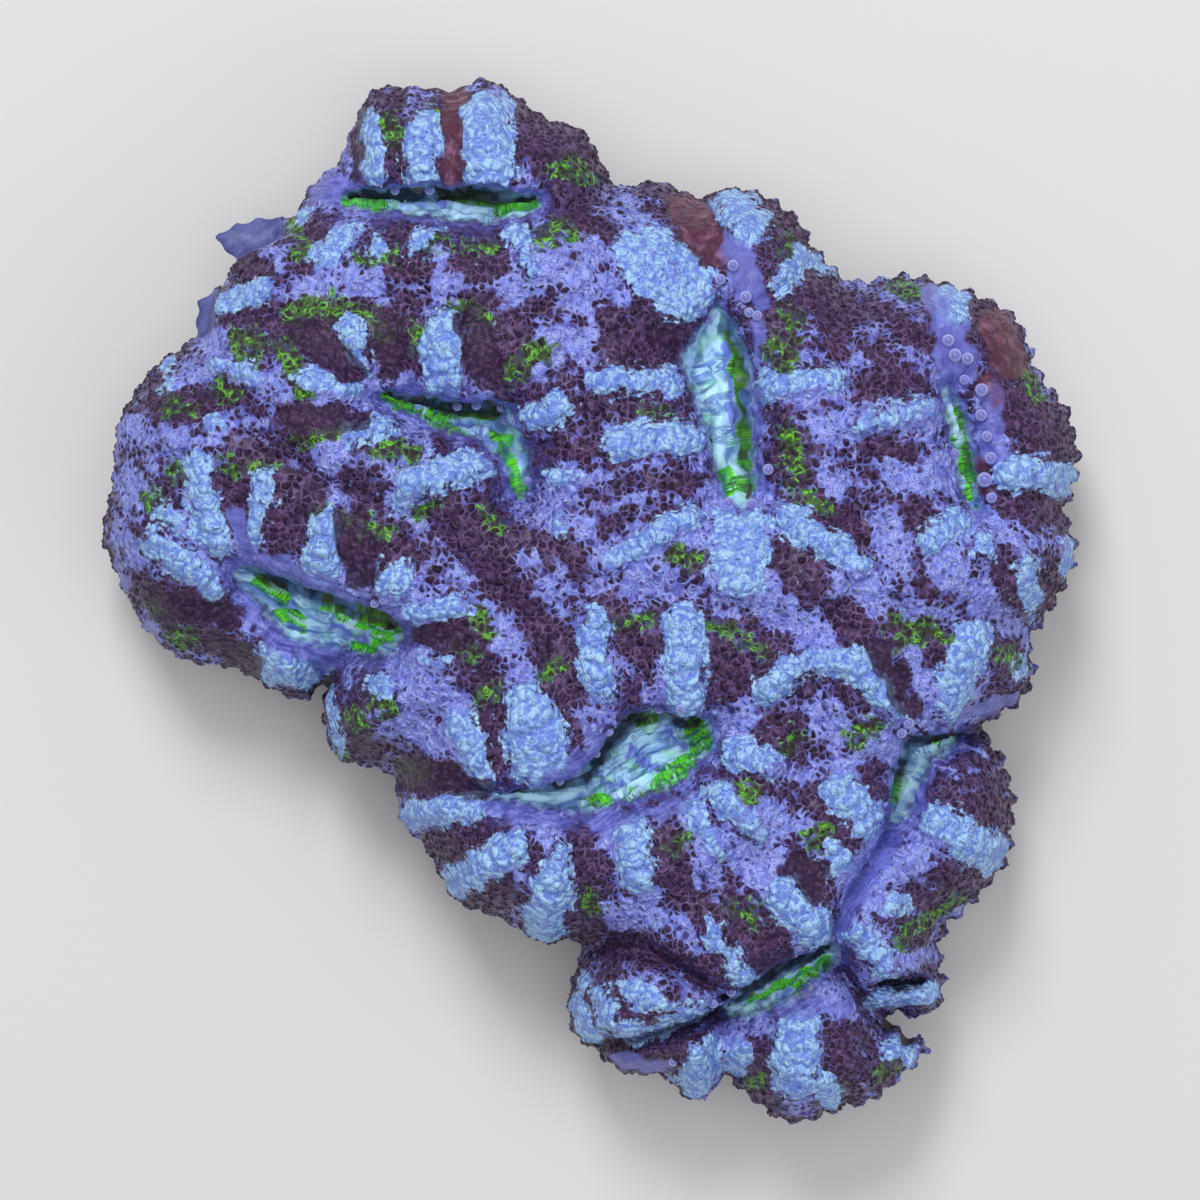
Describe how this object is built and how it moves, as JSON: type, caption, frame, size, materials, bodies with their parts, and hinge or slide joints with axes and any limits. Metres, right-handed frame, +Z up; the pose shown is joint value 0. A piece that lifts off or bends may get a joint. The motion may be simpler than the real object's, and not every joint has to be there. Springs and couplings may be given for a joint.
{
  "type": "acan coral",
  "caption": "Low domed colony of fleshy stony coral polyps with slit mouths, swollen banded lips and a toothed edge, cut flat beneath its ribbed skeleton to stand on a surface",
  "frame": {"origin": "on the flat cut underneath, below the middle of the colony's outline", "axes": "+Z up out of the cut; +Y along the colony's longest extent, towards its narrow single-polyp end; +X towards the side with the toothed round lobes"},
  "size_m": [0.0884, 0.0943, 0.0289],
  "materials": {
    "tissue": "satin",
    "skeleton": "matte"
  },
  "bodies": {
    "root": {"acan_colony": "tissue"}
  },
  "joints": []
}
